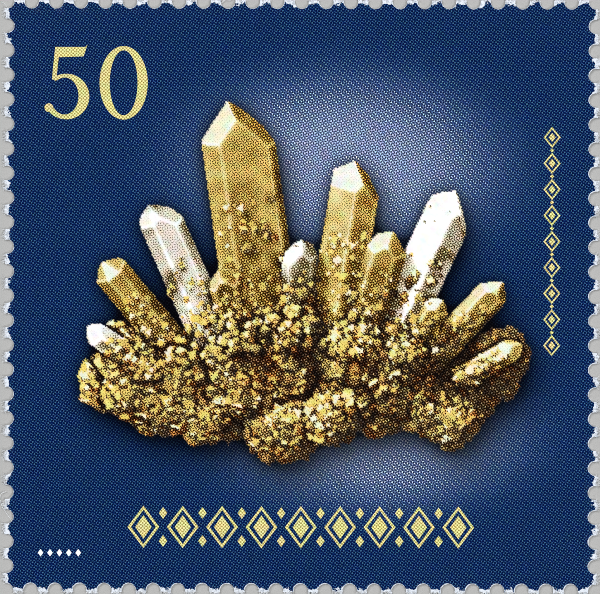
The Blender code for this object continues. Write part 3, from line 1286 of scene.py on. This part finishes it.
# %% The printed face
SCREENS = ((45, 0.0), (15, 0.0), (75, 0.5))  # angle in degrees, share of a hill by which it comes late
UNEVEN = (0.6, 0.4, 0.5)
UNEVEN_SIZE = 0.6 * MM
TORN_WHITE = (0.74, 0.79, 0.87, 1.0)
# TORN_SHADE is painted shade: the blue-grey that darkens thin patches of the torn paper, as shadow between
# its fibres
TORN_SHADE = (0.40, 0.45, 0.52, 1.0)
THIN_SHADE_SIZE, THIN_SHADE_SPAN = 0.16 * MM, (-0.02, 0.16)
SPECK_SPACING = 9.0 * MM
SPECK_RADIUS = 0.03 * MM
PAPER_ROUGHNESS = 0.8
INK_ROUGHNESS = 0.27
INK_SHINE = 0.12
GRAIN_SIZE, GRAIN_HEIGHT = 0.09 * MM, 0.06
INK_HEIGHT = 0.03
FACE_RELIEF, FACE_BUMP = 0.02 * MM, 0.8


def printed_face():
    material, tree = new_material("printed_face")
    place = object_place(tree)
    flat = vector_calc(tree, "MULTIPLY", place, LEVEL)
    tint, cover, ink = (
        add(tree, "ShaderNodeAttribute", attribute_name=name).outputs["Color"] for name in LAYERS)
    uneven = pulls(tree, {"Vector": flat, "Scale": 1 / UNEVEN_SIZE}, "3D")
    tint = vector_calc(tree, "MULTIPLY", tint, vector_calc(tree, "MULTIPLY_ADD", uneven, UNEVEN, (1, 1, 1)))
    speck = made(tree, "ShaderNodeTexVoronoi", {"Vector": flat, "Scale": 1 / SPECK_SPACING})
    speck_edge = SPECK_RADIUS / SPECK_SPACING
    clean = step_up(tree, speck, 0.8 * speck_edge, 1.2 * speck_edge)
    held = calc(tree, "MULTIPLY", ink_mask(tree, flat), clean)
    torn = step_up(tree, held, 0.9, 0.1)
    # Painted shade: the thin patches of torn paper are darkened towards TORN_SHADE
    thin_shaded_patches = step_up(tree, noise(tree, place, THIN_SHADE_SIZE, 3.0, 0.6), *THIN_SHADE_SPAN)
    paper = mixed(tree, torn, tint, mixed(tree, thin_shaded_patches, TORN_WHITE, TORN_SHADE))
    dots = screen_of_dots()
    inked = 0.0
    for screen_cover, (angle, late) in zip(split(tree, cover), SCREENS):
        screen = made(tree, "ShaderNodeGroup", node_tree=dots, inputs={
            "Cover": screen_cover, "Angle": math.radians(angle), "Late": late})
        inked = plus(tree, inked, (screen, held))
    through = joined(tree, *(calc(tree, "POWER", channel, inked) for channel in split(tree, ink)))
    relief = plus(tree, calc(tree, "MULTIPLY", torn_fibres(tree, place), torn),
                  (noise(tree, place, GRAIN_SIZE, 3.0), GRAIN_HEIGHT),
                  (calc(tree, "MINIMUM", inked, 1.0), INK_HEIGHT))
    surface(tree, {
        "Base Color": vector_calc(tree, "MULTIPLY", paper, through),
        "Roughness": plus(tree, PAPER_ROUGHNESS, (held, INK_ROUGHNESS - PAPER_ROUGHNESS)),
        "Specular IOR Level": INK_SHINE,
        "Normal": bumps(tree, relief, FACE_RELIEF, FACE_BUMP)})
    return material


face_finish = printed_face()
print(f"the printed face takes {len(face_finish.node_tree.nodes)} nodes")

# %% [markdown]
# ## The gum and the cut edge
# The back carries a thin film of dried gum, clear and slightly yellow, with a soft shine and a fine
# orange-peel surface. The walls show the paper itself: packed fibres, lying flat, so their ridges run
# along the edge and not across it.

# %% The back and the walls
GUMMED = (0.83, 0.81, 0.745)
GUM_PATCH, GUM_SPECKLE, PEEL_SIZE = 2.4 * MM, 0.12 * MM, 0.5 * MM
GUM_ROUGHNESS = 0.42
GUM_RELIEF, GUM_BUMP = 0.006 * MM, 0.7
WALL_WHITE = (0.80, 0.82, 0.85)
LAYER_SIZE = 0.09 * MM
LAYER_SQUEEZE = (1, 1, 6)
EDGE_RELIEF, EDGE_BUMP = 0.015 * MM, 0.8


def gummed_back():
    material, tree = new_material("gummed_back")
    place = object_place(tree)
    patches = noise(tree, place, GUM_PATCH, 3.0, 0.6)
    speckle = noise(tree, place, GUM_SPECKLE)
    peel = plus(tree, noise(tree, place, PEEL_SIZE), (speckle, 0.4))
    surface(tree, {
        "Base Color": scaled(tree, GUMMED, plus(tree, 1.0, (speckle, 0.05), (patches, 0.10))),
        "Roughness": plus(tree, GUM_ROUGHNESS, (patches, 0.3)),
        "Normal": bumps(tree, peel, GUM_RELIEF, GUM_BUMP)})
    return material


def paper_edge():
    material, tree = new_material("paper_edge")
    layers = made(tree, "ShaderNodeMapping", {"Vector": object_place(tree), "Scale": LAYER_SQUEEZE})
    packed = noise(tree, layers, LAYER_SIZE, 3.0, 0.65)
    surface(tree, {
        "Base Color": scaled(tree, WALL_WHITE, plus(tree, 0.95, (packed, 0.35))),
        "Roughness": PAPER_ROUGHNESS,
        "Normal": bumps(tree, packed, EDGE_RELIEF, EDGE_BUMP)})
    return material


edge_finish = paper_edge()
for finish in (face_finish, gummed_back(), edge_finish):
    sheet_mesh.materials.append(finish)
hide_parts("stamp")
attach(sheet, "root")

# %% [markdown]
# ## Loose fibres
# Under a lens every torn tooth ends in a fringe: wood fibres a fiftieth of a millimetre thick that let go
# of the sheet at one end. They repeat by the thousand, so a Geometry Nodes tree grows them: a short line
# on each seed point, turned roughly outwards, with a random length, then bent by noise once they are
# real, and last given a thin three-sided body.

# %% Random values, and bodies for curves
def random_value(tree, seed, low, high, kind="FLOAT"):
    """A random value for each point."""
    node = add(tree, "FunctionNodeRandomValue", {"Min": low, "Max": high, "Seed": seed}, data_type=kind)
    return node.outputs["Value"]


def stored(tree, name, kind):
    """The value of an attribute at each point."""
    return add(tree, "GeometryNodeInputNamedAttribute", {"Name": name}, data_type=kind).outputs["Attribute"]


def body_for(tree, curves, thickness, sides, taper, fullness=1.0):
    """Gives curves a body that gets thinner towards their ends, each with a fullness of its own."""
    along = add(tree, "GeometryNodeSplineParameter").outputs["Factor"]
    left = calc(tree, "SUBTRACT", 1.0, calc(tree, "MULTIPLY", along, taper))
    width = calc(tree, "MULTIPLY", fullness, left)
    shaped = made(tree, "GeometryNodeSetCurveRadius", {"Curve": curves, "Radius": width})
    ring = made(tree, "GeometryNodeCurvePrimitiveCircle",
                {"Resolution": sides, "Radius": calc(tree, "MULTIPLY", thickness, 0.5)})
    return made(tree, "GeometryNodeCurveToMesh", {"Curve": shaped, "Profile Curve": ring, "Fill Caps": True})


# %% Geometry Nodes: a fringe of fibres
SCATTER = (-1, -1, -0.25), (1, 1, 0.35)
OWN_RANGE = 50.0
BEND_ROOM = (1.0, 1.0, 0.3)
FIBRE_PARTS, FIBRE_SIDES, FIBRE_TAPER = 5, 3, 0.5
THINNEST, BUNDLE_GAIN, BUNDLE_RARITY = 0.8, 2.2, 4.0


def fibre_tree():
    """Grows bent fibres on points, roughly along the points' attribute named outward."""
    tree, given = start_tree("fringe", Int=["Seed"], Float=[
        "Shortest", "Longest", "Thickness", "Spread", "Bend", "Bend Size"])
    line = made(tree, "GeometryNodeCurvePrimitiveLine", {"Start": (0, 0, 0), "End": (0, 0, 1)})
    parts = made(tree, "GeometryNodeResampleCurve", {"Curve": line, "Count": FIBRE_PARTS})
    seeds = made(tree, "GeometryNodeMeshToPoints", {"Mesh": given["Geometry"]})
    scatter = random_value(tree, given["Seed"], *SCATTER, "FLOAT_VECTOR")
    heading = vector_calc(
        tree, "ADD", stored(tree, "outward", "FLOAT_VECTOR"), scaled(tree, scatter, given["Spread"]))
    turn = made(tree, "FunctionNodeAlignRotationToVector", {"Vector": heading}, axis="Z")
    reach = random_value(tree, calc(tree, "ADD", given["Seed"], 1.0), given["Shortest"], given["Longest"])
    placed = made(tree, "GeometryNodeInstanceOnPoints", {
        "Points": seeds, "Instance": parts, "Rotation": turn, "Scale": joined(tree, reach, reach, reach)})
    own = random_value(tree, calc(tree, "ADD", given["Seed"], 2.0), 0.0, OWN_RANGE)
    named = made(tree, "GeometryNodeStoreNamedAttribute", {"Geometry": placed, "Name": "own", "Value": own},
                 data_type="FLOAT", domain="INSTANCE")
    real = made(tree, "GeometryNodeRealizeInstances", {"Geometry": named})
    own = stored(tree, "own", "FLOAT")
    place = made(tree, "GeometryNodeInputPosition")
    pull = pulls(tree, {"Vector": place, "W": own, "Detail": 1.0,
                        "Scale": calc(tree, "DIVIDE", 1.0, given["Bend Size"])})
    along = add(tree, "GeometryNodeSplineParameter").outputs["Factor"]
    amount = calc(tree, "MULTIPLY", given["Bend"], along)
    bent = made(tree, "GeometryNodeSetPosition", {
        "Geometry": real, "Offset": scaled(tree, vector_calc(tree, "MULTIPLY", pull, BEND_ROOM), amount)})
    x, y, z = split(tree, place)
    clear = made(tree, "GeometryNodeSetPosition", {
        "Geometry": bent, "Position": joined(tree, x, y, calc(tree, "MAXIMUM", z, given["Thickness"]))})
    bundle = calc(tree, "POWER", calc(tree, "DIVIDE", own, OWN_RANGE), BUNDLE_RARITY)
    fullness = plus(tree, THINNEST, (bundle, BUNDLE_GAIN))
    body = body_for(tree, clear, given["Thickness"], FIBRE_SIDES, FIBRE_TAPER, fullness)
    return finish_tree(tree, body, given["Paper"])


# %% Seed points and the fringe
FRINGE_COUNT = 4300
FRINGE_SEED = 9
TORN_ENOUGH = 0.15
DEEPEST_SEED, FACE_SEED = 0.04, 0.004
ROOT_DEPTH = 0.02

draw = np.random.default_rng(FRINGE_SEED)
rim_torn = hole_distance(rim) > HOLE_MM * WALL_REACH
zone = (torn > TORN_ENOUGH) & (hole_distance(face_spots) > HOLE_MM * WALL_REACH)
rim_seeds = np.column_stack([rim[rim_torn], face_z[top_ring][rim_torn]])
rim_seeds[:, 2] -= draw.uniform(0.0, DEEPEST_SEED, len(rim_seeds))
zone_seeds = np.column_stack([face_spots[zone], face_z[zone] - FACE_SEED])
places = np.concatenate([rim_seeds, zone_seeds])
seeds = places[draw.permutation(len(places))[:FRINGE_COUNT]]
sideways = np.abs(seeds[:, 0]) > np.abs(seeds[:, 1])
outward = np.zeros(seeds.shape)
outward[sideways, 0] = np.sign(seeds[sideways, 0])
outward[~sideways, 1] = np.sign(seeds[~sideways, 1])
seeds -= ROOT_DEPTH * outward

seed_mesh = bpy.data.meshes.new("fringe_seeds")
seed_mesh.from_pydata((seeds * MM).tolist(), [], [])
seed_mesh.attributes.new("outward", "FLOAT_VECTOR", "POINT").data.foreach_set("vector", outward.ravel())
fringe_mesh = run_tree("fringe", seed_mesh, fibre_tree(), {
    "Shortest": 0.05 * MM, "Longest": 0.24 * MM, "Thickness": 0.022 * MM, "Spread": 0.9,
    "Bend": 0.10 * MM, "Bend Size": 0.10 * MM, "Seed": FRINGE_SEED, "Paper": edge_finish})
fringe = put("torn_fibres", fringe_mesh)
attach(fringe, "root")
print(f"{len(seeds)} fibres, from {len(places)} places for one, {len(fringe_mesh.polygons)} faces")

# %% [markdown]
# ## Stray fibres
# A few long fibres have pulled right out of the teeth and lie across the holes. There are only a handful
# and each is different, so their routes are listed one by one, and a tree turns the routes into thin
# curved strands.

# %% Geometry Nodes: strands along routes
STRAY_HEIGHT = 0.06
STRAND_SIDES, STRAND_TAPER = 6, 0.3
STRAY_ROUTES = [
    [(-18.13, -12.05), (-18.42, -12.18), (-18.526, -12.472), (-18.476, -12.61), (-18.384, -12.94),
     (-18.10, -13.39), (-17.82, -13.79), (-17.74, -13.95)],
    [(-18.10, 17.72), (-18.23, 17.88), (-18.35, 18.0), (-18.48, 18.07)],
    [(-4.95, 18.02), (-4.72, 18.22), (-4.46, 18.20), (-4.22, 18.31)],
    [(18.16, 6.62), (18.31, 6.85), (18.36, 7.10), (18.50, 7.21)],
    [(9.42, -18.10), (9.66, -18.27), (9.94, -18.24)],
    [(18.12, -11.30), (18.36, -11.46), (18.43, -11.72)],
]


def strand_tree():
    """Turns runs of edges into smooth strands with a thin round body."""
    tree, given = start_tree("strands", Float=["Thickness", "Step"])
    curve = made(tree, "GeometryNodeMeshToCurve", {"Mesh": given["Geometry"]})
    smooth = made(tree, "GeometryNodeCurveSplineType", {"Curve": curve}, spline_type="CATMULL_ROM")
    walked = walk(tree, smooth, given["Step"])
    body = body_for(tree, walked, given["Thickness"], STRAND_SIDES, STRAND_TAPER)
    return finish_tree(tree, body, given["Paper"])


points, runs = [], []
for route in STRAY_ROUTES:
    first = len(points)
    points += [(x * MM, y * MM, STRAY_HEIGHT * MM) for x, y in route]
    runs += [(i, i + 1) for i in range(first, len(points) - 1)]
route_mesh = bpy.data.meshes.new("stray_routes")
route_mesh.from_pydata(points, runs, [])
stray_mesh = run_tree("strays", route_mesh, strand_tree(),
                      {"Thickness": 0.032 * MM, "Step": 0.05 * MM, "Paper": edge_finish})
strays = put("stray_fibres", stray_mesh)
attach(strays, "root")
print(f"{len(STRAY_ROUTES)} stray fibres, {len(stray_mesh.polygons)} faces")
